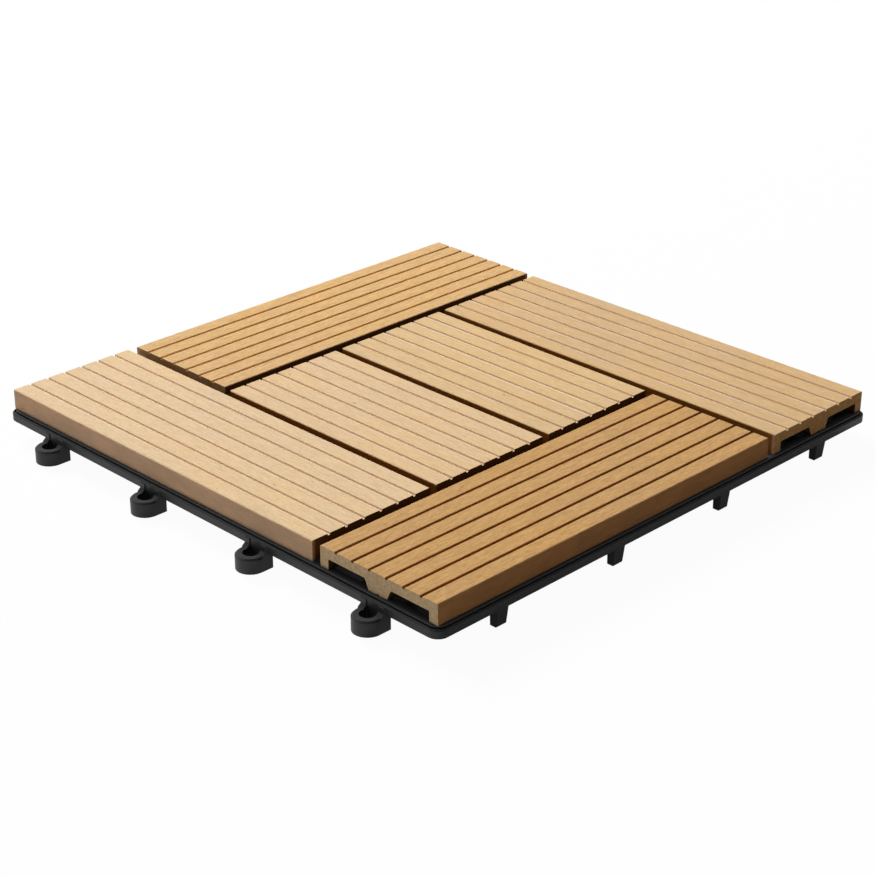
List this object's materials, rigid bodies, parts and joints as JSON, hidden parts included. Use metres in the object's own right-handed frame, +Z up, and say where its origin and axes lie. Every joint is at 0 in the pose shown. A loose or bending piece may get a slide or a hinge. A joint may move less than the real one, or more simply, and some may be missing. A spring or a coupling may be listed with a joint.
{
  "type": "deck tile",
  "caption": "Square interlocking deck tile: grooved composite boards laid like a pinwheel on a black moulded grid with link loops and pegs.",
  "frame": {"origin": "on the ground, at the middle of the tile's rim", "axes": "+Z up out of the board faces; X and Y along the tile's sides; loops on the -X and -Y sides, pegs on the +X and +Y sides"},
  "size_m": [0.3101, 0.3101, 0.025],
  "materials": {
    "boards": "matt brushed wood-plastic composite",
    "grid": "satin black moulded polypropylene",
    "screws": "bright zinc plated"
  },
  "bodies": {
    "root": {"base_grid": "grid", "front_board": "boards", "right_board": "boards", "back_board": "boards", "left_board": "boards", "middle_board_front": "boards", "middle_board_back": "boards", "board_screws": "screws"}
  },
  "joints": []
}
